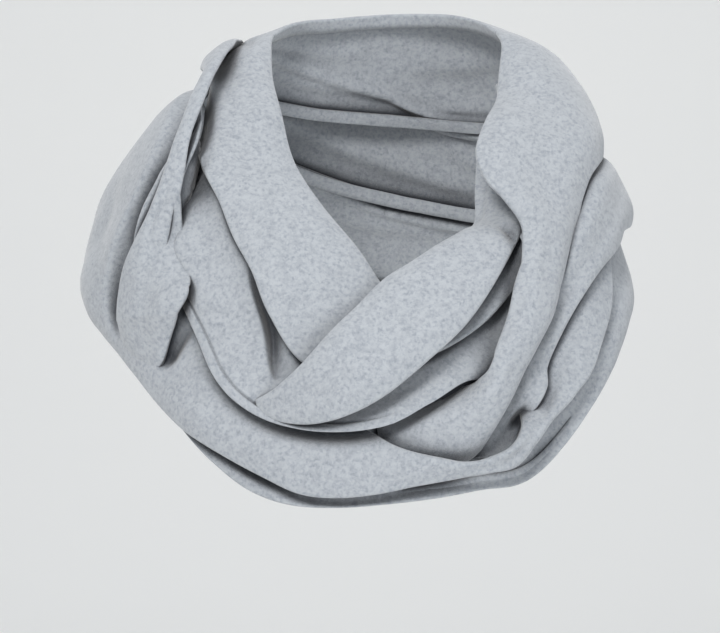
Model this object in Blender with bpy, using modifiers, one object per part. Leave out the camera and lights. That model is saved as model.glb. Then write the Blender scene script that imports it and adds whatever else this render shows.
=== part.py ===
"""Infinity scarf, worn: a closed loop of brushed grey knit wound twice round a neck.

Metres, +Z up, the wearer faces -Y. The origin is the middle of the nape, where the neck
carries the scarf. Every stretch of the winding is one wall of cloth, lofted through the
sections of its own table, from its inner edge near the neck to its outer edge on the chest.
"""

import math

import bmesh
import bpy
from mathutils import Vector

MM = 0.001
CLOTH_WALL = 1.6 * MM
NECK_AXIS_Y = -60 * MM
END_SHARE = 0.1
SCARF_COLOUR = (0.56, 0.58, 0.61, 1.0)
SCARF_ROUGHNESS = 0.95

# A section has its inner edge and its outer edge in cylinder coordinates round the neck's axis.
# Angles are in degrees, 0 in front and positive towards the wearer's left; radii and heights
# are in millimetres, heights from the nape. The crown is how far the cloth's middle stands
# out of the straight line between the edges, and the roundness is how sharply it rolls under
# at both edges (1 is a plain arc, 3 is a flat band with rolled edges).
COLUMNS = ("inner_angle", "inner_radius", "inner_height",
           "outer_angle", "outer_radius", "outer_height", "crown", "roundness")

NECK_FOLD_LEFT = [
    (-100, 63, 62, -100, 102, 28, 8, 2.5),
    (-88, 64, 53, -84, 106, 25, 8, 2.5),
    (-73, 66, 38, -71, 111, 12, 8, 2.5),
    (-57, 69, 19, -63, 119, -4, 7, 2.5),
    (-43, 74, -9, -56, 122, -18, 6, 2.5),
    (-25, 81, -35, -50, 121, -34, 7, 2.5),
    (-10, 87, -59, -44, 122, -53, 8, 2.5),
    (-2, 91, -77, -37, 123, -72, 7, 2.5),
    (4, 97, -88, -31, 125, -95, 6, 2.5),
    (12, 99, -88, -22, 123, -121, 5, 2.5),
    (18, 99, -82, -7, 119, -130, 4, 2.5),
    (25, 98, -71, 12, 118, -117, 3, 2.5),
    (31, 98, -60, 24, 119, -103, 3, 2.5),
    (36, 100, -48, 34, 118, -86, 3, 2.5),
    (42, 100, -40.7, 42, 116, -69, 3, 2.5),
]

CROSS_FOLD = [
    (96, 60, 44, 96, 74, 16, 2, 3),
    (74, 61, 20, 78, 76, 0, 2, 3),
    (55, 64, -3, 62, 80, -16, 2, 3),
    (45, 69, -26, 50, 94, -32, 3, 3),
    (36, 80, -45, 43, 112, -44, 4, 3),
    (24, 90, -53, 38, 117, -56, 6, 3),
    (15, 96, -59, 30, 122, -76, 7, 3),
    (7, 101, -67, 20, 128, -101, 8, 3),
    (-2, 107, -77, 10, 133, -120, 8, 3),
    (-9, 121, -92, 0, 137, -139, 8, 3),
    (-14, 130, -104, -8, 139, -149, 7, 3),
    (-20, 135, -120, -16, 138, -154, 5, 3),
    (-27, 137, -134, -24, 137, -154, 3, 3),
    (-32, 137, -140, -31, 137, -150, 1, 3),
]

COWL_FOLD = [
    (-84, 84, 22, -84, 114, -2, 2, 3),
    (-70, 90, 10, -76, 120, -12, 2, 3),
    (-58, 97, -6, -71, 127, -28, 2, 3),
    (-50, 104, -24, -69, 134, -44, 4, 3),
    (-42, 107, -44, -66, 138, -60, 5, 3),
    (-36, 108, -62, -62, 136, -76, 5, 3),
    (-28, 109, -82, -57, 134, -90, 5, 3),
    (-22, 107, -98, -50, 134, -110, 4, 3),
    (-16, 107, -110, -43, 136, -130, 4, 3),
    (-11, 105, -118, -36, 135, -144, 4, 3),
    (-6, 104, -120, -26, 133, -154, 4, 3),
    (0, 104, -118, -13, 131, -158, 3, 3),
    (6, 104, -112, 0, 129, -154, 3, 3),
    (14, 103, -104, 10, 126, -143, 2, 3),
    (22, 101, -92, 20, 120, -129, 2, 3),
    (30, 100, -80, 28, 119, -115, 2, 3),
    (34, 100, -74, 31, 120, -109, 1, 3),
    (41, 101, -64, 39, 118, -94, 1, 3),
]

NECK_FOLD_RIGHT = [
    (100, 64, 70, 100, 122, -2, 20, 2.5),
    (88, 65, 63, 88, 124, -5, 20, 2.5),
    (73, 66, 46, 76, 128, -8, 19, 2.5),
    (61, 70, 28, 66, 131, -13, 16, 2.5),
    (46, 80, 13, 61, 131, -20, 13, 2.5),
    (36, 92, -4, 57, 131, -32, 11, 2.5),
    (33, 103, -20, 55, 131, -42, 10, 2.5),
    (34, 114, -33, 52, 131, -54, 9, 2.5),
    (36, 120, -46, 49, 131, -68, 8, 2.5),
    (35, 124, -60, 46, 131, -82, 8, 2.5),
    (33, 127, -75, 43, 131, -97, 8, 2.5),
    (30, 128, -96, 39, 131, -111, 8, 2.5),
    (26, 128, -113, 35, 130, -126, 8, 2.5),
    (23, 127, -128, 29, 128, -150, 8, 2.5),
    (19, 121, -134, 23, 122, -172, 8, 2.5),
    (10, 114, -138, 13, 118, -180, 7, 2.5),
    (2, 113, -146, 5, 116, -176, 5, 2.5),
    (-3, 114, -152, -2, 115, -168, 3, 2.5),
]

SIDE_FOLD_LEFT = [
    (-100, 89, 55, -100, 117, 35, 6, 2.5),
    (-86, 90, 53, -84, 114, 38, 6, 2.5),
    (-70, 98, 45, -70, 114, 34, 5, 2.5),
    (-60, 113, 28, -63.5, 123, 22, 5, 2.5),
    (-58, 125, 4, -62.5, 132, 2, 5, 2.5),
    (-57, 130, -15, -62, 140, -18, 5, 2.5),
    (-57, 134, -31, -63, 147, -36, 5, 2.5),
    (-57, 136, -44, -65, 152, -50, 5, 2.5),
    (-56, 136, -56, -67, 156, -62, 5, 2.5),
    (-54, 136, -69, -69, 158.5, -74, 5, 2.5),
    (-51.5, 137, -83, -70.5, 159.5, -88, 6, 2.5),
    (-54, 141, -96, -71, 159.2, -100, 6, 2.5),
    (-57, 144, -109, -71.5, 158.7, -110, 5, 2.5),
    (-59, 147, -120, -70.5, 156.2, -119, 4, 2.5),
    (-62, 149.5, -129, -67.5, 152.5, -127, 2, 2.5),
]

SHOULDER_FOLD_RIGHT = [
    (100, 104, 6, 100, 145, -44, 8, 2.5),
    (88, 109, 0, 88, 145, -42, 7, 2.5),
    (76, 113, -5, 76, 145, -40, 5, 2.5),
    (63, 118, -14, 71, 144, -48, 5, 2.5),
    (55, 120, -34, 66, 142, -58, 5, 2.5),
    (50, 121, -52, 60, 138, -70, 5, 2.5),
    (44, 113, -77, 54, 135, -85, 5, 2.5),
    (37, 106, -99, 50, 132, -98, 6, 2.5),
    (21, 103, -119, 46, 129, -113, 6, 2.5),
    (16, 109, -129, 44, 127, -124, 4, 2.5),
    (15, 111, -138, 43, 126, -134, 3, 2.5),
    (17, 115, -147, 41, 125, -144, 1, 2.5),
    (22, 120, -154, 38, 123, -154, 1, 2.5),
]

FRONT_DRAPE = [
    (-100, 105, 34.5, -100.5, 170, -46, 12, 2.5),
    (-83, 107, 32, -99.5, 173, -52, 13, 2.5),
    (-66, 112.5, 22, -99, 175, -58, 15, 2.5),
    (-59, 120.5, 4, -97.5, 176, -66, 15, 2.5),
    (-58, 129, -15, -95, 175, -75, 14, 2.5),
    (-58, 136, -33, -91, 174, -84, 13, 2.5),
    (-59, 138, -50, -87, 171, -93, 12, 2.5),
    (-60, 139, -64, -84, 168, -100, 10, 2.5),
    (-60, 138, -77, -80, 163, -108, 8, 2.5),
    (-58, 134, -88, -76, 158, -116, 7, 2.5),
    (-55, 129, -98, -72, 153, -125, 6, 2.5),
    (-52, 125, -107, -68, 149, -133, 6, 2.5),
    (-49, 124, -114, -64, 145, -142, 6, 2.5),
    (-47, 124, -120, -58, 142, -152, 7, 2.5),
    (-43, 123, -128, -52, 139, -161, 8, 2.5),
    (-38, 121, -135, -46, 136, -168, 8, 2.5),
    (-33, 119, -141, -39, 132, -176, 8, 2.5),
    (-28, 118, -144, -31, 129, -184, 8, 2.5),
    (-21, 117, -146, -22, 127, -192, 7, 2.5),
    (-14, 117, -150, -13, 126, -194, 7, 2.5),
    (-6, 120, -155, -3, 126, -192, 6, 2.5),
    (2, 127, -164, 8, 127, -187, 5, 2.5),
    (10, 132, -170, 18, 129, -183, 3, 2.5),
    (17, 134, -174, 25, 132, -180, 2, 2.5),
    (22, 136, -173, 32, 133, -176, 2, 2.5),
    (28, 137, -167, 38, 133, -163, 2, 2.5),
    (32, 136, -157, 44, 134, -149, 2, 2.5),
    (36, 134, -145, 50, 136, -138, 3, 2.5),
    (42, 132, -129, 55, 139, -126, 4, 2.5),
    (48, 130, -112, 59, 140, -110, 4, 2.5),
    (47, 123, -97, 63, 140, -96, 4, 2.5),
    (50, 122, -80, 66, 139, -82, 3, 2.5),
    (61, 125, -66, 70, 139, -66, 3, 2.5),
]

UNDER_DRAPE = [
    (-78, 130, -100, -76, 143, -124, 2, 2.5),
    (-66, 128, -112, -66, 138, -144, 2, 2.5),
    (-57, 124, -122, -57, 133, -161, 2, 2.5),
    (-47, 119, -134, -47, 128, -178, 2, 2.5),
    (-37, 114, -142, -37, 124, -191, 2, 2.5),
    (-26, 110, -148, -26, 120, -198, 2, 2.5),
    (-14, 107, -150, -13, 117, -199, 2, 2.5),
    (0, 106, -150, 0, 116, -197, 2, 2.5),
    (12, 107, -150, 13, 117, -194, 2, 2.5),
    (24, 110, -150, 26, 118, -190, 2, 2.5),
    (34, 111, -142, 36, 121, -188, 2, 2.5),
    (42, 113, -130, 43, 124, -181, 3, 2.5),
    (48, 115, -118, 50, 128, -168, 4, 2.5),
    (54, 119, -104, 57, 132, -152, 5, 2.5),
    (60, 124, -86, 64, 137, -134, 6, 2.5),
    (67, 126, -72, 70, 140, -116, 6, 2.5),
    (75, 127, -58, 76, 142, -100, 6, 2.5),
    (83, 127, -46, 83, 143, -90, 5, 2.5),
    (91, 127, -36, 91, 142, -84, 4, 2.5),
    (100, 128, -30, 100, 140, -82, 4, 2.5),
]

NAPE_UPPER = [
    (-259.7, 64, 70, -259.7, 122, -2, 20, 2.5),
    (-240, 63, 79, -240, 114, 6, 17, 2.5),
    (-220, 62, 85, -220, 107, 13, 14, 2.5),
    (-200, 61, 87, -200, 101, 17, 11, 2.5),
    (-180, 61, 87, -180, 97, 20, 9, 2.5),
    (-155, 61, 84, -155, 97, 23, 8, 2.5),
    (-125, 62, 74, -125, 99, 26, 8, 2.5),
    (-100.3, 63, 62, -100.3, 102, 28, 8, 2.5),
]

NAPE_MIDDLE = [
    (-259.7, 104, 6, -259.7, 145, -44, 8, 2.5),
    (-245, 100, 8, -245, 141, -46, 8, 2.5),
    (-230, 97, 11.6, -230, 136, -46, 7, 2.5),
    (-215, 110, 12.3, -215, 133, -44, 6, 2.5),
    (-200, 104.5, 26, -200, 130, -38, 6, 2.5),
    (-180, 98, 42, -180, 128, -28, 7, 2.5),
    (-155, 93, 52, -155, 128, -10, 7, 2.5),
    (-125, 90, 56, -125, 124, 12, 6, 2.5),
    (-100.3, 89, 55, -100.3, 117, 35, 6, 2.5),
]

NAPE_LOWER = [
    (-259.7, 128, -30, -259.7, 140, -82, 4, 2.5),
    (-240, 125, -34, -240, 142, -86, 5, 2.5),
    (-220, 119, -32, -220, 143, -88, 6, 2.5),
    (-200, 114, -26, -200, 143, -88, 8, 2.5),
    (-180, 110, -18, -180, 144, -84, 9, 2.5),
    (-155, 105, -6, -155, 149, -75, 10, 2.5),
    (-125, 103, 14, -125, 160, -60, 11, 2.5),
    (-100.7, 105, 34.5, -100.9, 170, -46, 12, 2.5),
]

# Each stretch: its sections, its steps along each section gap, and its steps across.
STRETCHES = {
    "neck_fold_left": (NECK_FOLD_LEFT, 2, 10),
    "cross_fold": (CROSS_FOLD, 2, 10),
    "cowl_fold": (COWL_FOLD, 2, 8),
    "neck_fold_right": (NECK_FOLD_RIGHT, 2, 10),
    "side_fold_left": (SIDE_FOLD_LEFT, 2, 10),
    "shoulder_fold_right": (SHOULDER_FOLD_RIGHT, 2, 6),
    "front_drape": (FRONT_DRAPE, 2, 8),
    "under_drape": (UNDER_DRAPE, 2, 7),
    "nape_upper": (NAPE_UPPER, 4, 10),
    "nape_middle": (NAPE_MIDDLE, 4, 10),
    "nape_lower": (NAPE_LOWER, 4, 10),
}


def between(before, start, end, after, share):
    """One value of a smooth curve through start and end (Catmull-Rom)."""
    slope_start = (end - before) / 2
    slope_end = (after - start) / 2
    s2 = share * share
    s3 = s2 * share
    return ((2 * s3 - 3 * s2 + 1) * start + (s3 - 2 * s2 + share) * slope_start
            + (3 * s2 - 2 * s3) * end + (s3 - s2) * slope_end)


def section_at(sections, along):
    """The section at a share of the stretch's length, 0 to 1, as a dict of named columns."""
    last = len(sections) - 1
    place = along * last
    row = min(int(place), last - 1)
    rows = [sections[max(row - 1, 0)], sections[row], sections[row + 1], sections[min(row + 2, last)]]
    values = [between(*four, place - row) for four in zip(*rows)]
    return dict(zip(COLUMNS, values))


def cylinder_point(angle, radius, height):
    """A point from its angle round the neck in degrees and its radius and height in mm."""
    turn = math.radians(angle)
    return Vector((radius * MM * math.sin(turn), NECK_AXIS_Y - radius * MM * math.cos(turn), height * MM))


def edge_points(sections, along):
    """The section's inner and outer edge points."""
    section = section_at(sections, along)
    inner = cylinder_point(section["inner_angle"], section["inner_radius"], section["inner_height"])
    outer = cylinder_point(section["outer_angle"], section["outer_radius"], section["outer_height"])
    return section, inner, outer


def cloth_point(sections, along, across):
    """A point of the cloth's outer face, across 0 at the inner edge and 1 at the outer edge."""
    section, inner, outer = edge_points(sections, along)
    step = 0.01
    ahead = edge_points(sections, min(along + step, 1.0))
    behind = edge_points(sections, max(along - step, 0.0))
    run = ((ahead[1] + ahead[2]) - (behind[1] + behind[2])).normalized()
    turn = math.radians((section["inner_angle"] + section["outer_angle"]) / 2)
    round_neck = Vector((math.cos(turn), math.sin(turn), 0.0))
    if run.dot(round_neck) < 0:
        round_neck.negate()
    free = min(min(along, 1 - along) / END_SHARE, 1.0)
    run = round_neck.lerp(run, free)
    chord = outer - inner
    outward = run.cross(chord).normalized()
    middle = (inner + outer) / 2
    if outward.dot(Vector((middle.x, middle.y - NECK_AXIS_Y, 0.0))) < 0:
        outward.negate()
    offset = abs(2 * across - 1)
    rise = (1 - offset ** section["roundness"]) ** 0.85
    return inner + chord * across + outward * (section["crown"] * MM * rise)


def cloth_wall(name, collection, material):
    """One stretch: a grid laid on its sections, given the cloth's thickness."""
    sections, steps_along, steps_across = STRETCHES[name]
    grid = bmesh.new()
    bmesh.ops.create_grid(grid, x_segments=steps_along * (len(sections) - 1),
                          y_segments=steps_across, size=1.0)
    for vertex in grid.verts:
        vertex.co = cloth_point(sections, (vertex.co.x + 1) / 2, (vertex.co.y + 1) / 2)
    grid.normal_update()
    facing = sum(face.normal.dot(face.calc_center_median() - Vector((0, NECK_AXIS_Y, 0)))
                 for face in grid.faces)
    if facing < 0:
        bmesh.ops.reverse_faces(grid, faces=grid.faces)
    mesh = bpy.data.meshes.new(name)
    grid.to_mesh(mesh)
    grid.free()
    mesh.shade_smooth()
    mesh.materials.append(material)
    stretch = bpy.data.objects.new(name, mesh)
    collection.objects.link(stretch)
    wall = stretch.modifiers.new("cloth wall", "SOLIDIFY")
    wall.thickness = CLOTH_WALL
    wall.offset = -1.0
    return stretch


def knit_material():
    """The plain grey of the brushed knit."""
    material = bpy.data.materials.new("brushed knit")
    material.use_nodes = True
    surface = material.node_tree.nodes["Principled BSDF"]
    surface.inputs["Base Color"].default_value = SCARF_COLOUR
    surface.inputs["Roughness"].default_value = SCARF_ROUGHNESS
    surface.inputs["Metallic"].default_value = 0.0
    return material


def main():
    for old in list(bpy.data.objects):
        bpy.data.objects.remove(old)
    collection = bpy.data.collections.new("infinity scarf")
    bpy.context.scene.collection.children.link(collection)
    material = knit_material()
    for name in STRETCHES:
        cloth_wall(name, collection, material)


main()
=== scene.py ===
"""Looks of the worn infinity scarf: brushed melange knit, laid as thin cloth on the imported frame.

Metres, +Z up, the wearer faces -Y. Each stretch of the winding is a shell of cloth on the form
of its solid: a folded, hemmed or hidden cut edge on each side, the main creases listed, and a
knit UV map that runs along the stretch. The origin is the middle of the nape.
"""

import math
from collections import namedtuple

import bmesh
import bpy
from bpy.props import FloatProperty, FloatVectorProperty, IntProperty, PointerProperty
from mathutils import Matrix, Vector, noise
from mathutils.kdtree import KDTree


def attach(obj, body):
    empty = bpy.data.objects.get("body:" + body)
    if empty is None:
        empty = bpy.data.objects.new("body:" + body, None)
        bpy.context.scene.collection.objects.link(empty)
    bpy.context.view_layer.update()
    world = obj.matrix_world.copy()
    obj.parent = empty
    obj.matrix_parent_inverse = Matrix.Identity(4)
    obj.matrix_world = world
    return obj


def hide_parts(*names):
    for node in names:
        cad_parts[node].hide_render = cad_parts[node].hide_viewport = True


bl_info = {
    "name": "Infinity Scarf",
    "version": (1, 0, 0),
    "blender": (4, 5, 0),
    "location": "3D View > Sidebar > Scarf",
    "description": "Builds a worn infinity scarf of brushed melange knit",
    "category": "Add Mesh",
}

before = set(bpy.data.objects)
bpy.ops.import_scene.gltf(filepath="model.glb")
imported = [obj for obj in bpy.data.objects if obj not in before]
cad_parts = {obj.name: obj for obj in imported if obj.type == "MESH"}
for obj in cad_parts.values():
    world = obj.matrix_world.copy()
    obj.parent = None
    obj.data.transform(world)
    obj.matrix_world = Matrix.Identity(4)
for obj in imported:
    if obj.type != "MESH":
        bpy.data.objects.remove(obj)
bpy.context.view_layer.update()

MM = 0.001
NECK_AXIS_Y = -60 * MM
NECK_AXIS = Vector((0, NECK_AXIS_Y, 0))

# Shares of a stretch's length: over which its sections turn into the plane of a seam, over
# which creases and slack fade at a seam, and where the hem ends and how it fades out.
SEAM_TURN = 0.1
SEAM_CALM = 0.04
HEM_END = 0.74
HEM_FADE = 0.1

# The grid: points round a folded edge, points that measure an edge from the cloth below it,
# and how much closer the faces lie near the edges than in the middle.
EDGE_STEPS = 6
EDGE_LINE_STEPS = 120
EDGE_CROWDING = 0.055

# A place on the cloth laid out flat: the radius round the neck that turns angles into lengths,
# and how much the gap between two layers counts.
FLAT_RADIUS = 0.13
LAYER_GAP_WEIGHT = 0.4

# Sockets of a colour mix node.
MIX_FACTOR, MIX_FIRST, MIX_SECOND, MIX_RESULT = 0, 6, 7, 2

# A section has its inner edge and its outer edge in cylinder coordinates round the neck's axis.
# Angles are in degrees, 0 in front and positive towards the wearer's left; radii and heights
# are in millimetres, heights from the nape. The crown is how far the cloth's middle stands
# out of the straight line between the edges, and the roundness is how sharply it rolls under
# at both edges (1 is a plain arc, 3 is a flat band with rolled edges).
COLUMNS = ("inner_angle", "inner_radius", "inner_height",
           "outer_angle", "outer_radius", "outer_height", "crown", "roundness")

NECK_FOLD_LEFT = [
    (-100, 64, 68, -100, 100, 32, 12, 2.5),
    (-88, 64, 58, -84, 105, 27, 11, 2.5),
    (-73, 66, 40, -71, 111, 12, 9, 2.5),
    (-57, 69, 19, -63, 119, -4, 7, 2.5),
    (-43, 74, -9, -56, 122, -18, 6, 2.5),
    (-25, 81, -35, -50, 121, -34, 7, 2.5),
    (-10, 87, -59, -44, 122, -53, 8, 2.5),
    (-2, 91, -77, -37, 123, -72, 7, 2.5),
    (4, 97, -88, -31, 125, -95, 6, 2.5),
    (12, 99, -88, -22, 123, -121, 5, 2.5),
    (18, 99, -82, -7, 119, -130, 4, 2.5),
    (25, 98, -71, 12, 118, -117, 3, 2.5),
    (31, 98, -60, 24, 119, -103, 3, 2.5),
    (36, 100, -48, 34, 118, -86, 3, 2.5),
    (42, 100, -40.7, 42, 116, -69, 3, 2.5),
]

CROSS_FOLD = [
    (96, 66, 40, 96, 76, 16, 2, 3),
    (74, 66, 20, 78, 78, 0, 2, 3),
    (55, 64, -3, 62, 80, -16, 2, 3),
    (45, 69, -26, 50, 94, -32, 3, 3),
    (36, 80, -45, 43, 112, -44, 4, 3),
    (24, 90, -53, 38, 117, -56, 6, 3),
    (15, 96, -59, 30, 122, -76, 7, 3),
    (7, 101, -67, 20, 128, -101, 8, 3),
    (-2, 107, -77, 10, 133, -120, 8, 3),
    (-9, 121, -92, 0, 137, -139, 8, 3),
    (-14, 130, -104, -8, 139, -149, 7, 3),
    (-20, 135, -120, -16, 138, -154, 5, 3),
    (-27, 137, -134, -24, 137, -154, 3, 3),
    (-32, 137, -140, -31, 137, -150, 1, 3),
]

COWL_FOLD = [
    (-84, 84, 22, -84, 114, -2, 2, 3),
    (-70, 90, 10, -76, 120, -12, 2, 3),
    (-58, 97, -6, -71, 127, -28, 2, 3),
    (-50, 104, -24, -69, 134, -44, 4, 3),
    (-42, 107, -44, -66, 138, -60, 5, 3),
    (-36, 108, -62, -62, 136, -76, 5, 3),
    (-28, 109, -82, -57, 134, -90, 5, 3),
    (-22, 107, -98, -50, 134, -110, 4, 3),
    (-16, 107, -110, -43, 136, -130, 4, 3),
    (-11, 105, -118, -36, 135, -144, 4, 3),
    (-6, 104, -120, -26, 133, -154, 4, 3),
    (0, 104, -118, -13, 131, -158, 3, 3),
    (6, 104, -112, 0, 129, -154, 3, 3),
    (14, 103, -104, 10, 126, -143, 2, 3),
    (22, 101, -92, 20, 120, -132, 2, 3),
    (30, 100, -80, 27, 121, -130, 2, 3),
    (34, 100, -74, 31, 121, -127, 1, 3),
    (41, 101, -64, 39, 119, -114, 1, 3),
]

NECK_FOLD_RIGHT = [
    (100, 64, 70, 100, 122, -2, 20, 2.5),
    (88, 65, 63, 88, 124, -5, 20, 2.5),
    (73, 66, 46, 76, 128, -8, 19, 2.5),
    (61, 70, 28, 66, 131, -13, 16, 2.5),
    (43, 79, 13, 61, 131, -20, 13, 2.5),
    (31.5, 91, -4, 57, 131, -32, 11, 2.5),
    (30, 102, -20, 55, 131, -42, 10, 2.5),
    (33, 113, -33, 52, 131, -54, 9, 2.5),
    (36, 120, -46, 49, 131, -68, 8, 2.5),
    (35, 124, -60, 46, 131, -82, 8, 2.5),
    (33, 127, -75, 43, 131, -97, 8, 2.5),
    (30, 128, -96, 39, 131, -111, 8, 2.5),
    (26, 128, -113, 35, 130, -126, 8, 2.5),
    (23, 127, -128, 29, 128, -150, 8, 2.5),
    (19, 121, -134, 23, 122, -172, 8, 2.5),
    (10, 114, -138, 13, 118, -180, 7, 2.5),
    (2, 113, -146, 5, 116, -176, 5, 2.5),
    (-3, 114, -152, -2, 115, -168, 3, 2.5),
]

SIDE_FOLD_LEFT = [
    (-100, 84, 66, -100, 105, 43, 5, 2.5),
    (-86, 86, 62, -84, 107, 44, 5, 2.5),
    (-70, 97, 50, -70, 110, 38, 5, 2.5),
    (-60, 113, 28, -63.5, 123, 22, 5, 2.5),
    (-58, 125, 4, -62.5, 132, 2, 5, 2.5),
    (-57, 130, -15, -62, 140, -18, 5, 2.5),
    (-57, 134, -31, -63, 147, -36, 5, 2.5),
    (-57, 136, -44, -65, 152, -50, 5, 2.5),
    (-56, 136, -56, -67, 156, -62, 5, 2.5),
    (-54, 136, -69, -69, 158.5, -74, 5, 2.5),
    (-51.5, 137, -83, -70.5, 159.5, -88, 6, 2.5),
    (-54, 141, -96, -71, 159.2, -100, 6, 2.5),
    (-57, 144, -109, -71.5, 158.7, -110, 5, 2.5),
    (-59, 147, -120, -70.5, 156.2, -119, 4, 2.5),
    (-62, 149.5, -129, -67.5, 152.5, -127, 2, 2.5),
]

SHOULDER_FOLD_RIGHT = [
    (100, 104, 6, 100, 143, -44, 12, 3.2),
    (88, 109, 0, 88, 141, -47, 12, 3),
    (76, 113, -5, 76, 139, -50, 12, 2.7),
    (63, 118, -14, 71, 139, -57, 10, 2.5),
    (55, 120, -34, 66, 140, -62, 8, 2.5),
    (50, 121, -52, 60, 138, -71, 7, 2.5),
    (44, 113, -77, 54, 135, -85, 5, 2.5),
    (37, 106, -99, 50, 132, -98, 6, 2.5),
    (21, 103, -119, 46, 129, -113, 6, 2.5),
    (16, 109, -129, 44, 127, -124, 4, 2.5),
    (15, 111, -138, 43, 129, -134, 3, 2.5),
    (17, 113, -147, 40, 128, -145, 1, 2.5),
    (22, 114, -156, 36, 123, -158, 1, 2.5),
    (24, 119, -172, 36, 119, -174, 1, 2.5),
]

FRONT_DRAPE = [
    (-100, 103, 38, -100.5, 170, -46, 14, 3.5),
    (-83, 105, 35.5, -99.5, 173, -52, 14, 3),
    (-66, 112.5, 22, -99, 175, -58, 15, 2.5),
    (-59, 120.5, 4, -97.5, 176, -66, 15, 3.2),
    (-58, 129, -15, -95, 175, -75, 14, 4),
    (-58, 136, -33, -91, 174, -84, 13, 4.4),
    (-59, 138, -50, -87, 171, -93, 12, 4.4),
    (-60, 139, -64, -84, 168, -100, 10, 4),
    (-60, 138, -77, -80, 163, -108, 8, 3.2),
    (-58, 134, -88, -76, 158, -116, 7, 2.5),
    (-55, 129, -98, -72, 153, -125, 6, 2.5),
    (-52, 125, -107, -68, 149, -133, 6, 2.5),
    (-49, 124, -114, -64, 145, -142, 6, 2.5),
    (-47, 124, -120, -58, 142, -152, 7, 2.5),
    (-43, 123, -128, -52, 139, -161, 8, 2.5),
    (-38, 121, -135, -46, 136, -168, 8, 2.5),
    (-33, 119, -141, -39, 132, -176, 8, 2.5),
    (-28, 118, -144, -31, 129, -184, 8, 2.5),
    (-21, 117, -146, -22, 127, -192, 7, 2.5),
    (-14, 117, -150, -13, 126, -194, 7, 2.5),
    (-6, 120, -155, -3, 126, -192, 6, 2.5),
    (2, 127, -164, 8, 127, -187, 5, 2.5),
    (10, 132, -170, 18, 129, -183, 3, 2.5),
    (17, 134, -174, 25, 132, -180, 2, 2.5),
    (22, 136, -173, 32, 133, -176, 2, 2.5),
    (28, 137, -167, 38, 133, -163, 2, 2.5),
    (33, 130, -157, 44, 134, -149, 2, 2.5),
    (37, 118, -147, 50, 136, -138, 3, 2.5),
    (40, 113, -131, 55, 139, -126, 4, 2.5),
    (43, 116, -114, 59, 140, -110, 4, 2.5),
    (46, 119, -98, 63, 140, -96, 4, 2.5),
    (50, 122, -80, 66, 139, -82, 3, 2.5),
    (60, 122, -54, 68.5, 135, -52, 3, 2.5),
]

UNDER_DRAPE = [
    (-78, 130, -100, -76, 143, -124, 2, 2.5),
    (-66, 128, -112, -66, 138, -144, 2, 2.5),
    (-57, 124, -122, -57, 133, -161, 2, 2.5),
    (-47, 119, -134, -47, 128, -178, 2, 2.5),
    (-37, 114, -142, -37, 124, -191, 2, 2.5),
    (-26, 110, -148, -26, 120, -198, 2, 2.5),
    (-14, 107, -150, -13, 117, -199, 2, 2.5),
    (0, 106, -150, 0, 116, -197, 2, 2.5),
    (12, 107, -150, 13, 117, -194, 2, 2.5),
    (24, 110, -150, 26, 118, -190, 2, 2.5),
    (34, 111, -142, 36, 121, -188, 2, 2.5),
    (42, 113, -130, 43, 124, -181, 3, 2.5),
    (48, 115, -118, 50, 128, -168, 4, 2.5),
    (54, 119, -104, 57, 132, -152, 5, 2.5),
    (60, 124, -86, 64, 137, -134, 6, 2.5),
    (67, 126, -72, 70, 140, -116, 6, 2.5),
    (75, 127, -58, 76, 142, -100, 6, 2.5),
    (83, 127, -46, 83, 143, -90, 5, 2.5),
    (91, 127, -36, 91, 142, -84, 4, 2.5),
    (100, 128, -30, 100, 140, -82, 4, 2.5),
]

NAPE_UPPER = [
    (-259.7, 64, 70, -259.7, 122, -2, 20, 2.5),
    (-240, 63, 79, -240, 114, 6, 17, 2.5),
    (-220, 62, 85, -220, 107, 13, 14, 2.5),
    (-200, 61, 87, -200, 101, 17, 11, 2.5),
    (-180, 61, 87, -180, 97, 20, 9, 2.5),
    (-155, 61, 84, -155, 97, 23, 8, 2.5),
    (-125, 62, 79, -125, 99, 28, 10, 2.5),
    (-100.3, 64, 68, -100.3, 100, 32, 12, 2.5),
]

NAPE_MIDDLE = [
    (-259.7, 104, 6, -259.7, 143, -44, 12, 3.2),
    (-245, 100, 8, -245, 141, -46, 8, 2.5),
    (-230, 98, 21, -230, 136, -46, 7, 2.5),
    (-215, 108, 21, -215, 133, -44, 6, 2.5),
    (-200, 104.5, 26, -200, 130, -38, 6, 2.5),
    (-180, 98, 42, -180, 128, -28, 7, 2.5),
    (-155, 93, 52, -155, 128, -10, 7, 2.5),
    (-125, 89, 62, -125, 124, 12, 6, 2.5),
    (-100.3, 84, 66, -100.3, 105, 43, 5, 2.5),
]

NAPE_LOWER = [
    (-259.7, 128, -30, -259.7, 140, -82, 4, 2.5),
    (-240, 125, -34, -240, 142, -86, 5, 2.5),
    (-220, 119, -32, -220, 143, -88, 6, 2.5),
    (-200, 114, -26, -200, 143, -88, 8, 2.5),
    (-180, 110, -18, -180, 144, -84, 9, 2.5),
    (-155, 105, -6, -155, 149, -75, 10, 2.5),
    (-125, 103, 14, -125, 160, -60, 11, 2.5),
    (-100.7, 103, 38, -100.9, 170, -46, 14, 3.5),
]

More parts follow.
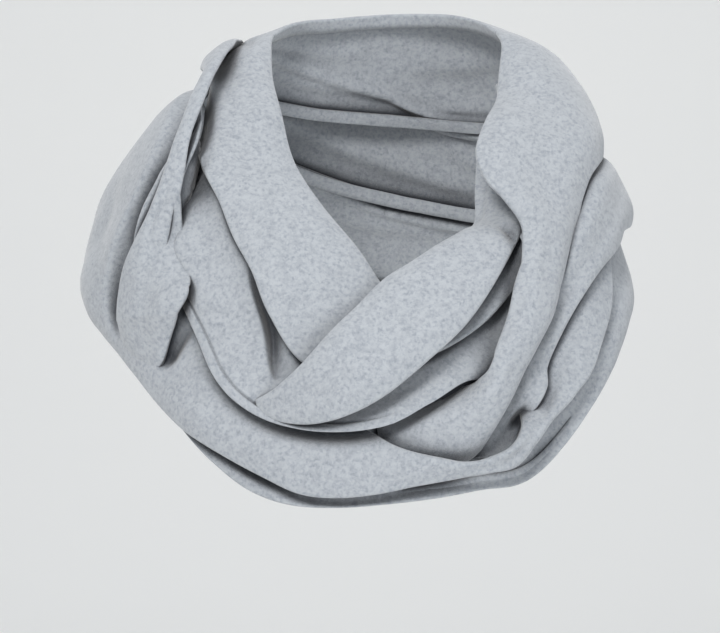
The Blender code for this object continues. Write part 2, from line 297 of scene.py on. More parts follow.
# How each stretch is finished: its sections, the edge nearest the neck and the edge on the
# chest, each a soft "fold", a turned "hem" or a plain "cut" that lies hidden; whether its end
# is "joined" to the next stretch or lies "loose" under one; and the grid's steps along it.
STRETCHES = {
    "neck_fold_left": (NECK_FOLD_LEFT, "fold", "fold", "loose", 150),
    "cross_fold": (CROSS_FOLD, "fold", "fold", "loose", 140),
    "cowl_fold": (COWL_FOLD, "cut", "hem", "loose", 190),
    "neck_fold_right": (NECK_FOLD_RIGHT, "fold", "fold", "loose", 190),
    "side_fold_left": (SIDE_FOLD_LEFT, "fold", "fold", "loose", 150),
    "shoulder_fold_right": (SHOULDER_FOLD_RIGHT, "cut", "fold", "loose", 140),
    "front_drape": (FRONT_DRAPE, "fold", "fold", "joined", 320),
    "under_drape": (UNDER_DRAPE, "cut", "fold", "joined", 200),
    "nape_upper": (NAPE_UPPER, "fold", "fold", "joined", 140),
    "nape_middle": (NAPE_MIDDLE, "fold", "fold", "joined", 150),
    "nape_lower": (NAPE_LOWER, "fold", "fold", "joined", 160),
}

# Soft troughs (depth below 0) and ridges that run along a stretch. Shares of its length and
# width say where a crease starts and ends; its widths towards the neck and towards the chest,
# and its depth, are in millimetres. One on an edge lets that edge sink into its neighbour.
CREASE_COLUMNS = ("start", "end", "start_across", "end_across",
                  "inner_width", "outer_width", "depth")
CREASES = {
    "neck_fold_left": [
        (0.02, 0.40, 0.62, 0.50, 12, 8, -1.5),
        (0.10, 0.62, 0.30, 0.42, 14, 10, -1.1),
        (0.30, 0.75, 0.78, 0.70, 8, 6, -0.9),
        (0.00, 0.24, 0.92, 1.00, 8, 8, -4.5),
    ],
    "cross_fold": [
        (0.30, 0.95, 0.55, 0.40, 12, 9, -1.4),
        (0.18, 0.62, 0.80, 0.72, 8, 6, -1.0),
        (0.12, 0.36, 0.35, 0.12, 7, 3, -2.5),
        (0.45, 0.98, 0.20, 0.22, 7, 7, 0.8),
        (0.74, 1.40, 0.50, 0.50, 60, 60, -5.0),
    ],
    "cowl_fold": [
        (0.31, 0.52, 0.20, 0.60, 9, 1.3, -7.5),
        (0.12, 0.38, 0.76, 0.80, 14, 8, 4.5),
        (0.55, 0.98, 0.55, 0.70, 9, 6, -1.2),
    ],
    "neck_fold_right": [
        (0.02, 0.45, 0.70, 0.60, 14, 10, -1.9),
        (0.05, 0.35, 0.35, 0.45, 16, 12, -1.5),
        (0.40, 0.85, 0.45, 0.62, 9, 7, -1.3),
        (0.60, 0.98, 0.30, 0.40, 7, 7, 1.0),
        (0.00, 0.55, 1.00, 1.00, 7, 7, -2.2),
        (0.56, 0.72, 0.00, 0.00, 9, 9, -4.5),
        (0.78, 1.30, 0.00, 0.00, 9, 8, -6.0),
    ],
    "side_fold_left": [
        (0.10, 0.60, 0.62, 0.45, 7, 4, -1.4),
        (0.35, 0.95, 0.50, 0.45, 9, 7, -1.2),
        (0.42, 0.70, 0.00, 0.00, 9, 14, -8.0),
        (0.78, 1.38, 0.50, 0.50, 60, 60, -7.5),
    ],
    "shoulder_fold_right": [
        (0.00, 0.60, 0.28, 0.34, 9, 9, 2.2),
        (0.10, 0.70, 0.60, 0.70, 8, 5, -1.5),
        (0.45, 1.00, 0.80, 0.60, 7, 5, -1.6),
    ],
    "front_drape": [
        (0.00, 0.22, -0.01, 0.47, 8, 3.4, -14.0),
        (0.12, 0.28, 0.24, 0.80, 8, 3.2, -9.0),
        (0.36, 0.62, 0.00, 0.00, 8, 7, -8.0),
        (0.03, 0.20, 0.55, 0.66, 12, 10, -1.8),
        (0.36, 0.62, 0.45, 0.55, 10, 8, -1.5),
        (0.45, 0.70, 0.78, 0.82, 7, 5, -1.0),
        (0.70, 0.97, 0.55, 0.45, 7, 5, -1.6),
    ],
    "under_drape": [
        (0.55, 0.95, 0.50, 0.40, 9, 7, -1.8),
        (0.36, 0.76, 0.70, 0.80, 14, 9, -7.0),
        (0.12, 0.36, 0.70, 0.75, 7, 5, -1.4),
    ],
    "nape_upper": [
        (0.10, 0.60, 0.40, 0.55, 11, 7, -3.4),
        (0.35, 0.90, 0.75, 0.62, 8, 5, -2.8),
        (0.20, 0.55, 0.85, 0.80, 6, 4, -1.6),
        (0.62, 0.97, 0.38, 0.30, 7, 5, -2.0),
    ],
    "nape_middle": [
        (0.05, 0.50, 0.50, 0.36, 9, 6, -3.2),
        (0.42, 0.95, 0.66, 0.52, 10, 7, -3.6),
        (0.30, 0.70, 0.82, 0.86, 6, 4, -1.8),
        (0.10, 0.38, 0.74, 0.66, 7, 4, -1.9),
    ],
    "nape_lower": [
        (0.10, 0.55, 0.45, 0.62, 8, 6, -3.0),
        (0.36, 0.97, 0.33, 0.44, 10, 7, -3.8),
        (0.55, 0.98, 0.74, 0.66, 8, 5, -2.6),
        (0.06, 0.32, 0.78, 0.70, 6, 4, -1.8),
    ],
}

# Where the edge of another stretch lies on this one, the cloth under it gives way in a narrow
# line: whose edge it is and which, from where to where along that stretch, and the line's
# width and depth in millimetres.
CREVICE_COLUMNS = ("over", "edge", "start", "end", "width", "depth")
CREVICES = {
    "neck_fold_left": [
        ("side_fold_left", "inner", 0.00, 0.42, 3.0, 6),
        ("cross_fold", "outer", 0.22, 0.60, 2.6, 4),
    ],
    "cross_fold": [
        ("neck_fold_right", "inner", 0.20, 0.52, 4.2, 12),
    ],
    "cowl_fold": [
        ("neck_fold_left", "outer", 0.16, 0.66, 3.0, 6),
        ("side_fold_left", "inner", 0.25, 0.50, 2.4, 4),
        ("cross_fold", "outer", 0.30, 0.86, 3.0, 7),
        ("neck_fold_right", "inner", 0.50, 0.68, 2.4, 3),
    ],
    "neck_fold_right": [
        ("cowl_fold", "outer", 0.70, 0.97, 3.8, 12),
        ("front_drape", "inner", 0.55, 0.78, 2.4, 4),
    ],
    "shoulder_fold_right": [
        ("neck_fold_right", "outer", 0.46, 0.84, 1.6, 1.5),
        ("front_drape", "inner", 0.68, 0.90, 3.4, 6),
    ],
    "front_drape": [
        ("side_fold_left", "outer", 0.02, 0.80, 2.2, 20),
        ("side_fold_left", "inner", 0.66, 0.97, 4.0, 9),
        ("cowl_fold", "outer", 0.34, 0.84, 4.4, 10),
        ("neck_fold_right", "outer", 0.72, 0.98, 3.4, 6),
        ("shoulder_fold_right", "outer", 0.14, 0.80, 3.2, 4),
    ],
    "under_drape": [
        ("front_drape", "outer", 0.30, 0.94, 4.2, 7),
    ],
    "nape_upper": [
        ("nape_middle", "inner", 0.34, 1.00, 3.0, 5),
    ],
    "nape_middle": [
        ("nape_upper", "outer", 0.00, 0.38, 3.2, 6),
    ],
    "nape_lower": [
        ("nape_middle", "outer", 0.00, 1.00, 3.2, 6),
    ],
}

# One row of a stretch's grid: its share of the length, how far along the middle it lies, the
# width of its section, its points, each point's share of the width, and its outward side.
GridRow = namedtuple("GridRow", "along length width places shares outward")


class ScarfCloth(bpy.types.PropertyGroup):
    """Sizes and colours of the knit."""

    thickness: FloatProperty(name="Thickness", description="Thickness of the brushed knit",
                             default=1.2 * MM, min=0.3 * MM, unit="LENGTH")
    fold_radius: FloatProperty(name="Fold radius",
                               description="How tightly the cloth turns at a folded edge",
                               default=1.5 * MM, min=0.3 * MM, unit="LENGTH")
    tuck: FloatProperty(name="Tuck",
                        description="How far the cloth runs back behind a folded edge",
                        default=7 * MM, unit="LENGTH")
    hem_width: FloatProperty(name="Hem width", description="Width of the turned hem",
                             default=6 * MM, unit="LENGTH")
    hem_height: FloatProperty(name="Hem height", description="How far the doubled hem stands out",
                              default=0.6 * MM, unit="LENGTH")
    slack: FloatProperty(name="Slack",
                         description="Depth of the soft unevenness between the creases",
                         default=1.7 * MM, unit="LENGTH")
    crease_strength: FloatProperty(name="Crease strength",
                                   description="How deep the placed creases are",
                                   default=1.0, min=0.0, subtype="FACTOR")
    steps_across: IntProperty(name="Steps across", description="Faces across a stretch",
                              default=96, min=24)
    light_wool: FloatVectorProperty(name="Light wool", description="Colour of the palest fibres",
                                    subtype="COLOR", default=(0.335, 0.355, 0.38), min=0, max=1)
    mid_wool: FloatVectorProperty(name="Mid wool", description="Colour of most of the fibres",
                                  subtype="COLOR", default=(0.275, 0.294, 0.32), min=0, max=1)
    dark_wool: FloatVectorProperty(name="Dark wool", description="Colour of the blue-grey flecks",
                                   subtype="COLOR", default=(0.20, 0.22, 0.25), min=0, max=1)


class ScarfStage(bpy.types.PropertyGroup):
    """The plain studio round the scarf."""

    floor_height: FloatProperty(name="Floor height", description="Height of the studio floor",
                                default=-0.75, unit="LENGTH")
    backdrop: FloatVectorProperty(name="Backdrop", description="Colour of floor and backdrop",
                                  subtype="COLOR", default=(0.88, 0.88, 0.87), min=0, max=1)
    camera_distance: FloatProperty(name="Camera distance",
                                   description="From the camera to the neck's axis",
                                   default=1.4, unit="LENGTH")
    frame_width: FloatProperty(name="Frame width",
                               description="Width of the picture at the neck's axis",
                               default=0.4176, unit="LENGTH")


def between(before, start, end, after, share):
    """One value of a smooth curve through start and end (Catmull-Rom)."""
    slope_start = (end - before) / 2
    slope_end = (after - start) / 2
    s2 = share * share
    s3 = s2 * share
    return ((2 * s3 - 3 * s2 + 1) * start + (s3 - 2 * s2 + share) * slope_start
            + (3 * s2 - 2 * s3) * end + (s3 - s2) * slope_end)


def section_at(sections, along):
    """The section at a share of the stretch's length, 0 to 1, as a dict of named columns."""
    last = len(sections) - 1
    place = along * last
    row = min(int(place), last - 1)
    rows = [sections[max(row - 1, 0)], sections[row],
            sections[row + 1], sections[min(row + 2, last)]]
    return dict(zip(COLUMNS, [between(*four, place - row) for four in zip(*rows)]))


def cylinder_point(angle, radius, height):
    """A point from its angle round the neck in degrees and its radius and height in mm."""
    turn = math.radians(angle)
    return Vector((radius * MM * math.sin(turn),
                   NECK_AXIS_Y - radius * MM * math.cos(turn), height * MM))


def edge_points(sections, along):
    """The section at a share of the stretch's length, and its inner and outer edge."""
    section = section_at(sections, along)
    inner, outer = [cylinder_point(section[side + "_angle"], section[side + "_radius"],
                                   section[side + "_height"]) for side in ("inner", "outer")]
    return section, inner, outer


def section_plane(sections, end, along):
    """The section's inner edge, the direction and length of its chord, and its outward side."""
    section, inner, outer = edge_points(sections, along)
    step = 0.01
    _, inner_ahead, outer_ahead = edge_points(sections, min(along + step, 1.0))
    _, inner_behind, outer_behind = edge_points(sections, max(along - step, 0.0))
    run = ((inner_ahead + outer_ahead) - (inner_behind + outer_behind)).normalized()
    turn = math.radians((section["inner_angle"] + section["outer_angle"]) / 2)
    round_neck = Vector((math.cos(turn), math.sin(turn), 0.0))
    if run.dot(round_neck) < 0:
        round_neck.negate()
    from_seam = min(along, 1 - along) if end == "joined" else along
    run = round_neck.lerp(run, min(from_seam / SEAM_TURN, 1.0))
    chord = outer - inner
    outward = run.cross(chord).normalized()
    middle = (inner + outer) / 2
    if outward.dot(Vector((middle.x, middle.y - NECK_AXIS_Y, 0.0))) < 0:
        outward.negate()
    return section, inner, chord.normalized(), chord.length, outward


def face_profile(section, width, share):
    """The section's face: how far along the chord and how far out of it, in metres."""
    fullness = 0.85
    from_middle = min(abs(2 * share - 1), 1.0)
    rise = (1 - from_middle ** section["roundness"]) ** fullness
    return Vector((share * width, section["crown"] * MM * rise))


def turned_edge(section, width, side, cloth):
    """Points of a folded edge, from its tucked end out to where the face begins, at its share."""
    face_start = 1.2 * cloth.fold_radius
    narrowest = 10 * MM
    start = face_start / max(width, narrowest)
    share = start if side == "inner" else 1 - start
    nudge = 0.004 if side == "inner" else -0.004
    here = face_profile(section, width, share)
    towards_edge = (here - face_profile(section, width, share + nudge)).normalized()
    away = Vector((0.0, 1.0)) - towards_edge * towards_edge.y
    away = away.normalized() if away.length > 1e-6 else Vector((-towards_edge.x, 0.0))
    flat = -1.0 if side == "inner" else 1.0
    dip = math.atan2(-towards_edge.y, flat * towards_edge.x)
    full_turn = math.pi - dip
    points = []
    for step in range(EDGE_STEPS + 1):
        turn = full_turn * (1 - step / EDGE_STEPS)
        points.append(here + towards_edge * cloth.fold_radius * math.sin(turn)
                      - away * cloth.fold_radius * (1 - math.cos(turn)))
    widest_tuck = 0.25 * width
    tuck = Vector((-flat, 0.0)) * min(cloth.tuck, widest_tuck)
    return [points[0] + tuck, points[0] + tuck * 0.5] + points, share


def section_profile(section, width, edges, cloth, steps):
    """The whole section from the inner edge's tuck to the outer edge's, with each point's share."""
    lead, first = turned_edge(section, width, "inner", cloth) if edges[0] == "fold" else ([], 0.0)
    trail, last = turned_edge(section, width, "outer", cloth) if edges[1] == "fold" else ([], 1.0)
    middle_steps = steps - sum(EDGE_STEPS + 2 for edge in edges if edge == "fold")
    points = lead[:-1]
    shares = [first * 0.5] * len(points)
    for step in range(middle_steps + 1):
        even = step / middle_steps
        eased = even - EDGE_CROWDING * math.sin(2 * math.pi * even)
        share = first + (last - first) * eased
        points.append(face_profile(section, width, share))
        shares.append(share)
    points += reversed(trail[:-1])
    shares += [(1 + last) / 2] * len(trail[:-1])
    return points, shares


def bell(distance):
    """1 in the middle, fading smoothly to the sides."""
    return math.exp(-distance * distance)


def crease_height(creases, along, share, width):
    """How far the placed creases lift the cloth here, in metres."""
    wander, waves, fade_power = 0.012, 9, 0.7
    height = 0.0
    for row in creases:
        crease = dict(zip(CREASE_COLUMNS, row))
        reach = (along - crease["start"]) / (crease["end"] - crease["start"])
        if not 0 < reach < 1:
            continue
        line = crease["start_across"] + (crease["end_across"] - crease["start_across"]) * reach
        line += wander * math.sin(waves * reach + 40 * crease["start"])
        side = "inner_width" if share < line else "outer_width"
        distance = (share - line) * width / (crease[side] * MM)
        height += crease["depth"] * MM * bell(distance) * math.sin(math.pi * reach) ** fade_power
    return height


def unrolled(place):
    """A place on the cloth laid out flat, with its distance from the neck's axis weighed less."""
    forward = NECK_AXIS_Y - place.y
    return Vector((FLAT_RADIUS * math.atan2(place.x, forward), place.z,
                   LAYER_GAP_WEIGHT * math.hypot(place.x, forward)))


def edge_line(name, edge, start, end):
    """The places along part of a stretch's edge, laid out flat and numbered from its start."""
    sections = STRETCHES[name][0]
    line = KDTree(EDGE_LINE_STEPS + 1)
    for step in range(EDGE_LINE_STEPS + 1):
        _, inner, outer = edge_points(sections, start + (end - start) * step / EDGE_LINE_STEPS)
        line.insert(unrolled(inner if edge == "inner" else outer), step)
    line.balance()
    return line


def crevice_height(lines, place):
    """How far the edges that lie on the cloth press it in here, in metres."""
    fade_speed = 6
    height = 0.0
    for crevice, line in lines:
        _, step, distance = line.find(unrolled(place))
        fade = min(1.0, fade_speed * step / EDGE_LINE_STEPS if crevice["start"] > 0 else 1.0,
                   fade_speed * (1 - step / EDGE_LINE_STEPS) if crevice["end"] < 1 else 1.0)
        height -= crevice["depth"] * MM * fade * bell(distance / (crevice["width"] * MM))
    return height


def hem_lift(edges, along, share, width, cloth):
    """How far a hem's doubled cloth stands out, with its stitched groove, until it rolls under."""
    if along > HEM_END:
        return 0.0
    step_width, groove_width, groove_depth = 0.5 * MM, 0.8 * MM, 1.6
    lift = 0.0
    for edge, distance in ((edges[0], share * width), (edges[1], (1 - share) * width)):
        if edge == "hem":
            past_stitches = distance - cloth.hem_width
            lift += cloth.hem_height / (1 + math.exp(past_stitches / step_width))
            lift -= groove_depth * cloth.hem_height * bell(past_stitches / groove_width)
    return lift * min(1.0, (HEM_END - along) / HEM_FADE)


def slack_height(point, cloth):
    """Soft unevenness, calm over wide faces and never the same on two stretches."""
    broad_scale, small_scale, apart = 26, 70, Vector((3.1, 7.7, 1.3))
    broad = noise.noise(point * broad_scale)
    small = noise.noise(point * small_scale + apart)
    return cloth.slack * (0.75 * broad + 0.25 * small)


def stretch_rows(name, cloth):
    """The rows of points that a stretch's grid is bent to, from its start to its end."""
    sections, inner_edge, outer_edge, end, steps_along = STRETCHES[name]
    rows = []
    length = 0.0
    before = None
    for row in range(steps_along + 1):
        along = row / steps_along
        section, inner, chord, width, outward = section_plane(sections, end, along)
        points, shares = section_profile(section, width, (inner_edge, outer_edge), cloth,
                                         cloth.steps_across)
        places = [inner + chord * point.x + outward * point.y for point in points]
        middle = places[len(places) // 2]
        length += (middle - before).length if before else 0.0
        before = middle
        rows.append(GridRow(along, length, width, places, shares, outward))
    return rows


def stretch_lifts(name, cloth, rows, grid, where):
    """How far each point of a stretch's grid is lifted or pressed in, in metres."""
    _, inner_edge, outer_edge, end, _ = STRETCHES[name]
    creases = CREASES.get(name, [])
    lines = []
    for row in CREVICES.get(name, []):
        crevice = dict(zip(CREVICE_COLUMNS, row))
        line = edge_line(crevice["over"], crevice["edge"], crevice["start"], crevice["end"])
        lines.append((crevice, line))
    lifts = {}
    for vertex in grid.verts:
        row, column = where[vertex.index]
        along, width, share = rows[row].along, rows[row].width, rows[row].shares[column]
        calm = min(1.0, along / SEAM_CALM, (1 - along) / SEAM_CALM if end == "joined" else 1.0)
        lift = cloth.crease_strength * crease_height(creases, along, share, width)
        lift += slack_height(vertex.co, cloth) + crevice_height(lines, vertex.co)
        hem = hem_lift((inner_edge, outer_edge), along, share, width, cloth)
        lifts[vertex.index] = lift * calm + hem
    return lifts


def lay_stretch(name, cloth, material):
    """Lays one stretch of cloth: a grid bent to its sections, creased and given its thickness."""
    rows = stretch_rows(name, cloth)
    steps_along, steps_across, length = len(rows) - 1, cloth.steps_across, rows[-1].length

    grid = bmesh.new()
    bmesh.ops.create_grid(grid, x_segments=steps_along, y_segments=steps_across, size=1.0)
    knit_uv = grid.loops.layers.uv.new("knit")
    where = {}
    for vertex in grid.verts:
        row = round((vertex.co.x + 1) / 2 * steps_along)
        column = round((vertex.co.y + 1) / 2 * steps_across)
        where[vertex.index] = (row, column)
        vertex.co = rows[row].places[column]
    grid.normal_update()
    facing = sum(face.normal.dot(face.calc_center_median() - NECK_AXIS) for face in grid.faces)
    if facing < 0:
        bmesh.ops.reverse_faces(grid, faces=grid.faces)
    lifts = stretch_lifts(name, cloth, rows, grid, where)
    for vertex in grid.verts:
        row, _ = where[vertex.index]
        vertex.co += rows[row].outward * lifts[vertex.index]
    for face in grid.faces:
        for loop in face.loops:
            row, column = where[loop.vert.index]
            across = (column / steps_across - 0.5) * rows[row].width
            loop[knit_uv].uv = (rows[row].length, across)
    area = sum(face.calc_area() for face in grid.faces)

    mesh = bpy.data.meshes.new(name + " cloth")
    grid.to_mesh(mesh)
    grid.free()
    mesh.shade_smooth()
    mesh.materials.append(material)
    piece = bpy.data.objects.new(name + "_cloth", mesh)
    bpy.context.scene.collection.objects.link(piece)
    wall = piece.modifiers.new("knit thickness", "SOLIDIFY")
    wall.thickness = cloth.thickness
    wall.offset = -1.0
    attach(piece, "root")
    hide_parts(name)


def mix_colours(nodes, links, label, factor, first, second):
    """A mix of two colours, each a fixed colour or another node's output."""
    mix = nodes.new("ShaderNodeMix")
    mix.label = label
    mix.data_type = "RGBA"
    links.new(factor, mix.inputs[MIX_FACTOR])
    for socket, colour in ((mix.inputs[MIX_FIRST], first), (mix.inputs[MIX_SECOND], second)):
        if isinstance(colour, bpy.types.NodeSocket):
            links.new(colour, socket)
        else:
            socket.default_value = (*colour, 1.0)
    return mix.outputs[MIX_RESULT]


def smooth_range(nodes, links, label, value, low, high):
    """A value's place between low and high, eased at both ends."""
    ramp = nodes.new("ShaderNodeMapRange")
    ramp.label = label
    ramp.interpolation_type = "SMOOTHSTEP"
    ramp.inputs["From Min"].default_value = low
    ramp.inputs["From Max"].default_value = high
    links.new(value, ramp.inputs["Value"])
    return ramp.outputs["Result"]


def knit_noise_group():
    """Melange of wool colours and the brushed nap's height, from a place on the cloth in metres."""
    group = bpy.data.node_groups.new("melange knit", "ShaderNodeTree")
    sockets = group.interface
    sockets.new_socket("Cloth place", in_out="INPUT", socket_type="NodeSocketVector")
    for name in ("Light wool", "Mid wool", "Dark wool"):
        sockets.new_socket(name, in_out="INPUT", socket_type="NodeSocketColor")
    sockets.new_socket("Color", in_out="OUTPUT", socket_type="NodeSocketColor")
    sockets.new_socket("Nap", in_out="OUTPUT", socket_type="NodeSocketFloat")
    nodes, links = group.nodes, group.links
    given = nodes.new("NodeGroupInput")
    result = nodes.new("NodeGroupOutput")

    def place_noise(label, scale, detail, roughness, distortion):
        texture = nodes.new("ShaderNodeTexNoise")
        texture.label = label
        texture.inputs["Scale"].default_value = scale
        texture.inputs["Detail"].default_value = detail
        texture.inputs["Roughness"].default_value = roughness
        texture.inputs["Distortion"].default_value = distortion
        links.new(given.outputs["Cloth place"], texture.inputs["Vector"])
        return texture.outputs["Fac"]

    # Each layer of wool over the ones before it: its noise, the part of the noise where it
    # shows, and its colour.
    colour = given.outputs["Mid wool"]
    for label, scale, detail, roughness, distortion, low, high, wool in (
            ("clouds", 170, 6, 0.7, 0.4, 0.34, 0.66, "Light wool"),
            ("dark flecks", 430, 3, 0.6, 0.2, 0.40, 0.78, "Dark wool"),
            ("pale fibres", 460, 2, 0.5, 0.3, 0.42, 0.76, "Light wool")):
        texture = place_noise(label, scale, detail, roughness, distortion)
        shown = smooth_range(nodes, links, label, texture, low, high)
        colour = mix_colours(nodes, links, label, shown, colour, given.outputs[wool])
    links.new(colour, result.inputs["Color"])

    fuzz_share = 0.55
    nap = nodes.new("ShaderNodeMath")
    nap.operation = "MULTIPLY_ADD"
    nap.label = "nap height"
    links.new(place_noise("fuzz", 1500, 4, 0.75, 1.0), nap.inputs[0])
    nap.inputs[1].default_value = fuzz_share
    links.new(place_noise("pile", 420, 4, 0.65, 0.8), nap.inputs[2])
    links.new(nap.outputs[0], result.inputs["Nap"])
    return group


def knit_material(cloth):
    """The brushed knit: fleecy, matte, with a soft bloom where it turns away, and shade painted
    into its colour in the folds and where cloth lies on cloth.
    """
    material = bpy.data.materials.new("brushed melange knit")
    material.use_nodes = True
    nodes, links = material.node_tree.nodes, material.node_tree.links
    surface = nodes["Principled BSDF"]
    place = nodes.new("ShaderNodeTexCoord")
    melange = nodes.new("ShaderNodeGroup")
    melange.node_tree = knit_noise_group()
    links.new(place.outputs["Object"], melange.inputs["Cloth place"])
    for name, colour in (("Light wool", cloth.light_wool), ("Mid wool", cloth.mid_wool),
                         ("Dark wool", cloth.dark_wool)):
        melange.inputs[name].default_value = (*colour, 1.0)

    def painted_fold_shade(label, reach, shut, open_wide):
        """A mask for painted shade: 0 deep in a fold and 1 on an open face, as far as the reach
        sees.
        """
        hollow = nodes.new("ShaderNodeAmbientOcclusion")
        hollow.label = label
        hollow.samples = 8
        hollow.inputs["Distance"].default_value = reach
        return smooth_range(nodes, links, label, hollow.outputs["AO"], shut, open_wide)

    # Painted shade: two occlusion masks, multiplied together, mix the knit's colour towards a
    # near-black in the folds and where cloth lies on cloth.
    both = nodes.new("ShaderNodeMath")
    both.operation = "MULTIPLY"
    links.new(painted_fold_shade("painted shade where cloth lies on cloth", 6 * MM, 0.58, 0.94), both.inputs[0])
    links.new(painted_fold_shade("painted shade deep in the folds", 18 * MM, 0.44, 0.86), both.inputs[1])
    # The near-black colour of the painted shade.
    painted_shade_colour = (0.02, 0.022, 0.028)
    shaded = mix_colours(nodes, links, "painted fold shade", both.outputs[0],
                         painted_shade_colour, melange.outputs["Color"])
    links.new(shaded, surface.inputs["Base Color"])
    bump = nodes.new("ShaderNodeBump")
    bump.inputs["Strength"].default_value = 0.6
    bump.inputs["Distance"].default_value = 0.5 * MM
    links.new(melange.outputs["Nap"], bump.inputs["Height"])
    links.new(bump.outputs["Normal"], surface.inputs["Normal"])
    surface.inputs["Roughness"].default_value = 0.95
    surface.inputs["Sheen Weight"].default_value = 0.35
    surface.inputs["Sheen Roughness"].default_value = 0.55
    surface.inputs["Specular IOR Level"].default_value = 0.2
    return material


def lay_all(*names):
    """Lays the named stretches in the one knit, which the first of them makes."""
    cloth = bpy.context.scene.scarf_cloth
    knit = bpy.data.materials.get("brushed melange knit") or knit_material(cloth)
    for name in names:
        lay_stretch(name, cloth, knit)


class SCARF_OT_neck_folds(bpy.types.Operator):
    """Lay the two folds that cross below the neck"""

    bl_idname = "scarf.neck_folds"
    bl_label = "Neck folds"

    def execute(self, context):
        lay_all("neck_fold_left", "cross_fold")
        return {"FINISHED"}


class SCARF_OT_cowl_fold(bpy.types.Operator):
    """Lay the deep turned-over fold below the crossing"""

    bl_idname = "scarf.cowl_fold"
    bl_label = "Cowl fold"

    def execute(self, context):
        lay_all("cowl_fold")
        return {"FINISHED"}


class SCARF_OT_right_folds(bpy.types.Operator):
    """Lay the large fold over the wearer's left shoulder and the fold beside it"""

    bl_idname = "scarf.right_folds"
    bl_label = "Folds on the viewer's right"

    def execute(self, context):
        lay_all("neck_fold_right", "shoulder_fold_right")
        return {"FINISHED"}


class SCARF_OT_side_fold(bpy.types.Operator):
    """Lay the ridge fold over the wearer's right shoulder"""

    bl_idname = "scarf.side_fold"
    bl_label = "Side fold"

    def execute(self, context):
        lay_all("side_fold_left")
        return {"FINISHED"}


class SCARF_OT_drapes(bpy.types.Operator):
    """Lay the drape from the wearer's right shoulder over the chest, and the layer under it"""

    bl_idname = "scarf.drapes"
    bl_label = "Drapes"

    def execute(self, context):
        lay_all("front_drape", "under_drape")
        return {"FINISHED"}


class SCARF_OT_nape(bpy.types.Operator):
    """Lay the three stretches behind the neck"""

    bl_idname = "scarf.nape"
    bl_label = "Nape"

    def execute(self, context):
        lay_all("nape_upper", "nape_middle", "nape_lower")
        return {"FINISHED"}


def stage_material(colour):
    """Matte paper, a little uneven in tone."""
    material = bpy.data.materials.new("matte studio paper")
    material.use_nodes = True
    nodes, links = material.node_tree.nodes, material.node_tree.links
    surface = nodes["Principled BSDF"]
    surface.inputs["Roughness"].default_value = 0.9
    place = nodes.new("ShaderNodeTexCoord")
    grain = nodes.new("ShaderNodeTexNoise")
    grain.inputs["Scale"].default_value = 3.0
    links.new(place.outputs["Object"], grain.inputs["Vector"])
    darker = [value * 0.985 for value in colour]
    tint = mix_colours(nodes, links, "paper tone", grain.outputs["Fac"], darker, colour)
    links.new(tint, surface.inputs["Base Color"])
    return material


def paper_sweep(stage):
    """A floor that turns up into the backdrop in one wide bend."""
    floor_half, floor_back, bend, wall = 4.0, 3.0, 1.2, 4.0
    bend_top = stage.floor_height + bend

    sweep = bmesh.new()
    bmesh.ops.create_grid(sweep, x_segments=1, y_segments=1, size=floor_half)
    bmesh.ops.translate(sweep, verts=sweep.verts,
                        vec=(0, floor_back - floor_half, stage.floor_height))
    far = [edge for edge in sweep.edges if all(vertex.co.y > 0 for vertex in edge.verts)]
    bmesh.ops.spin(sweep, geom=far, cent=(0, floor_back, bend_top), axis=(1, 0, 0),
                   angle=math.radians(90), steps=24)
    top = [edge for edge in sweep.edges
           if all(vertex.co.z > bend_top - 10 * MM for vertex in edge.verts)]
    lifted = bmesh.ops.extrude_edge_only(sweep, edges=top)["geom"]
    corners = [part for part in lifted if isinstance(part, bmesh.types.BMVert)]
    bmesh.ops.translate(sweep, verts=corners, vec=(0, 0, wall))
    bmesh.ops.remove_doubles(sweep, verts=sweep.verts, dist=1e-5)
    bmesh.ops.recalc_face_normals(sweep, faces=sweep.faces)
    mesh = bpy.data.meshes.new("paper sweep")
    sweep.to_mesh(mesh)
    sweep.free()
    mesh.shade_smooth()
    mesh.materials.append(stage_material(stage.backdrop))
    paper = bpy.data.objects.new("paper sweep", mesh)
    bpy.context.scene.collection.objects.link(paper)


def softbox(name, place, aim, width, height, power, colour):
    """A rectangular lamp at one place that faces another, in metres and watts."""
    light = bpy.data.lights.new(name, "AREA")
    light.shape = "RECTANGLE"
    light.size = width
    light.size_y = height
    light.energy = power
    light.color = colour
    box = bpy.data.objects.new(name, light)
    box.location = place
    box.rotation_euler = (Vector(aim) - Vector(place)).to_track_quat("-Z", "Y").to_euler()
    bpy.context.scene.collection.objects.link(box)


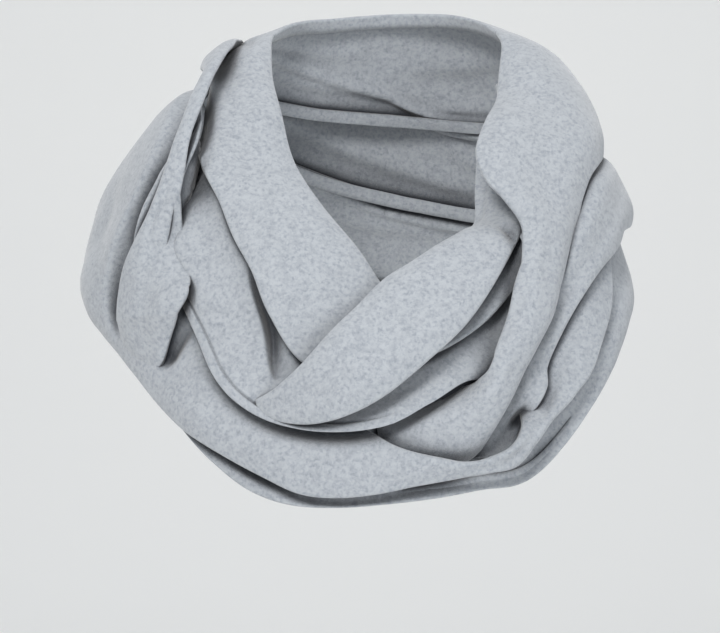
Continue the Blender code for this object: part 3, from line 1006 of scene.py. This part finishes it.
class SCARF_OT_stage(bpy.types.Operator):
    """Set up the pale floor, the soft lights and the camera"""

    bl_idname = "scarf.stage"
    bl_label = "Stage"

    def execute(self, context):
        stage = context.scene.scarf_stage
        paper_sweep(stage)
        softbox("key softbox", (-0.4, -1.7, 0.75), (0, -0.08, -0.06), 0.5, 0.5, 27,
                (1.0, 0.99, 0.97))
        softbox("fill softbox", (0.9, -1.6, -0.15), (0, -0.08, -0.1), 0.8, 0.8, 9,
                (0.97, 0.99, 1.0))
        softbox("top softbox", (0.0, 0.1, 1.6), (0, -0.05, 0), 1.0, 1.0, 8, (1.0, 1.0, 1.0))
        softbox("backdrop light", (0.0, 1.0, 1.2), (0, 3.0, 0.0), 3.0, 1.0, 21,
                (1.0, 1.0, 0.985))
        world = bpy.data.worlds.new("studio air")
        world.use_nodes = True
        air = world.node_tree.nodes["Background"]
        air.inputs["Color"].default_value = (0.93, 0.96, 1.0, 1.0)
        air.inputs["Strength"].default_value = 0.58
        context.scene.world = world
        context.scene.view_settings.view_transform = "Standard"
        lens = bpy.data.cameras.new("front camera")
        lens.sensor_width = 36
        lens.lens = lens.sensor_width * stage.camera_distance / stage.frame_width
        camera = bpy.data.objects.new("front camera", lens)
        camera.location = (-14.5 * MM, NECK_AXIS_Y - stage.camera_distance, -96.6 * MM)
        camera.rotation_euler = (math.radians(90), 0, 0)
        context.scene.collection.objects.link(camera)
        context.scene.camera = camera
        return {"FINISHED"}


class SCARF_PT_panel(bpy.types.Panel):
    """The scarf's pieces, in the order they are laid"""

    bl_idname = "SCARF_PT_panel"
    bl_label = "Infinity scarf"
    bl_space_type = "VIEW_3D"
    bl_region_type = "UI"
    bl_category = "Scarf"

    def draw(self, context):
        for settings in (context.scene.scarf_cloth, context.scene.scarf_stage):
            for name in settings.bl_rna.properties.keys():
                if name not in ("rna_type", "name"):
                    self.layout.prop(settings, name)
        for operator in OPERATORS:
            self.layout.operator(operator.bl_idname)


OPERATORS = (SCARF_OT_neck_folds, SCARF_OT_cowl_fold, SCARF_OT_right_folds, SCARF_OT_side_fold,
             SCARF_OT_drapes, SCARF_OT_nape, SCARF_OT_stage)
CLASSES = (ScarfCloth, ScarfStage, *OPERATORS, SCARF_PT_panel)


def register():
    """Adds the scarf's settings, operators and panel to Blender."""
    for each in CLASSES:
        bpy.utils.register_class(each)
    bpy.types.Scene.scarf_cloth = PointerProperty(type=ScarfCloth)
    bpy.types.Scene.scarf_stage = PointerProperty(type=ScarfStage)


def unregister():
    """Takes them out again."""
    del bpy.types.Scene.scarf_stage
    del bpy.types.Scene.scarf_cloth
    for each in reversed(CLASSES):
        bpy.utils.unregister_class(each)


def main():
    """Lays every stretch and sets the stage."""
    register()
    bpy.ops.scarf.neck_folds()
    bpy.ops.scarf.cowl_fold()
    bpy.ops.scarf.right_folds()
    bpy.ops.scarf.side_fold()
    bpy.ops.scarf.drapes()
    bpy.ops.scarf.nape()
    bpy.ops.scarf.stage()


if __name__ == "__main__":
    main()
